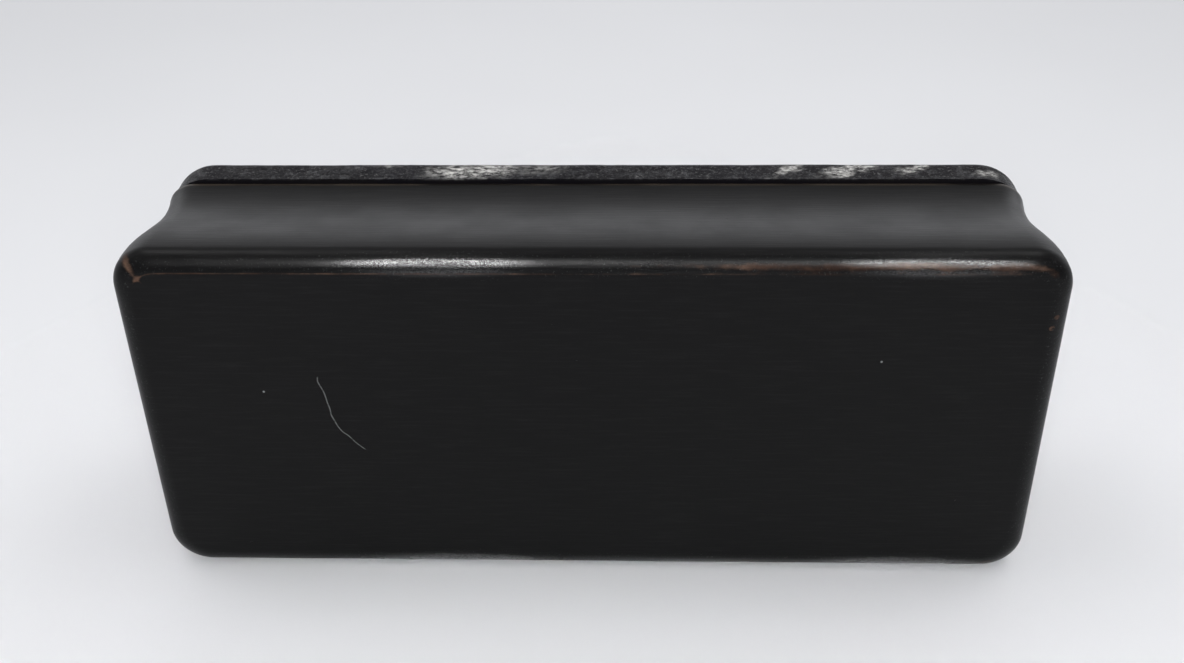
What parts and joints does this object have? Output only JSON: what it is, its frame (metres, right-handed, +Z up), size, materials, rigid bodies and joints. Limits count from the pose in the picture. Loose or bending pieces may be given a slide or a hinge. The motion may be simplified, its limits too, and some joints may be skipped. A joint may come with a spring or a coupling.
{
  "type": "card dealing shoe",
  "caption": "Black lacquered wooden card dealing shoe with moulded sides, a hinged lid, an inclined faceplate at its mouth and a roller follower, laid on its long side.",
  "frame": {"origin": "centre of the footprint on the surface that the shoe lies on, z = 0", "axes": "The shoe lies on its left long side. +X runs along its length towards the mouth, +Z is up, through its right long side, and -Y is the outward normal of its flat underside. The lid faces +Y."},
  "size_m": [0.3, 0.08, 0.128],
  "materials": {
    "casing_lacquer": "satin black lacquer over wood, worn brown along the edges",
    "lid_lacquer": "glossy, uneven black lacquer over wood, rubbed pale in patches",
    "inside_wood": "oiled beech, satin",
    "dark_wood": "waxed walnut, satin",
    "felt": "matt green baize",
    "brass": "brushed, slightly aged",
    "bronze": "plain turned bronze",
    "steel": "turned and lightly brushed"
  },
  "bodies": {
    "casing": {"base_board": "casing_lacquer", "left_side_wall": "casing_lacquer", "right_side_wall": "casing_lacquer", "rear_wall": "casing_lacquer", "front_wall": "casing_lacquer", "sill_block": "casing_lacquer", "mouth_lip": "brass", "ramp_board": "inside_wood", "ramp_felt": "felt", "rear_bumper": "felt", "left_guide_board": "inside_wood", "right_guide_board": "inside_wood", "faceplate": "dark_wood", "faceplate_cleat_left": "dark_wood", "faceplate_cleat_right": "dark_wood", "cleat_screw_left_1": "brass", "cleat_screw_left_2": "brass", "cleat_screw_right_1": "brass", "cleat_screw_right_2": "brass", "catch_magnet": "steel", "hinge_leaf_casing": "brass", "hinge_pin": "steel", "casing_leaf_screw_1": "brass", "casing_leaf_screw_2": "brass", "casing_leaf_screw_3": "brass"},
    "lid": {"lid_board": "lid_lacquer", "lid_lining": "felt", "strike_plate": "steel", "lid_knob": "brass", "lid_knob_screw": "steel", "hinge_leaf_lid": "brass", "lid_leaf_screw_1": "brass", "lid_leaf_screw_2": "brass", "lid_leaf_screw_3": "brass"},
    "follower": {"follower_block": "dark_wood", "follower_felt": "felt", "roller_axle": "steel", "roller_washer_left": "bronze", "roller_washer_right": "bronze"},
    "roller": {"roller": "steel"}
  },
  "joints": [
    {"name": "lid_hinge", "type": "hinge", "parent": "casing", "child": "lid", "pos_m": [-0.1478, 0.016, 0.064], "axis": [0, 0, 1], "range_deg": [0, 100]},
    {"name": "follower_slide", "type": "slide", "parent": "casing", "child": "follower", "axis": [0.9994, -0.0349, 0], "range_m": [0, 0.1925]},
    {"name": "roller_spin", "type": "hinge", "parent": "follower", "child": "roller", "pos_m": [-0.10656, -0.00654, 0.064], "axis": [0, 0, -1], "range_deg": [0, 850]}
  ],
  "couplings": [
    {"joint": "roller_spin", "follows": "follower_slide", "rad_per_m": 76.923}
  ]
}
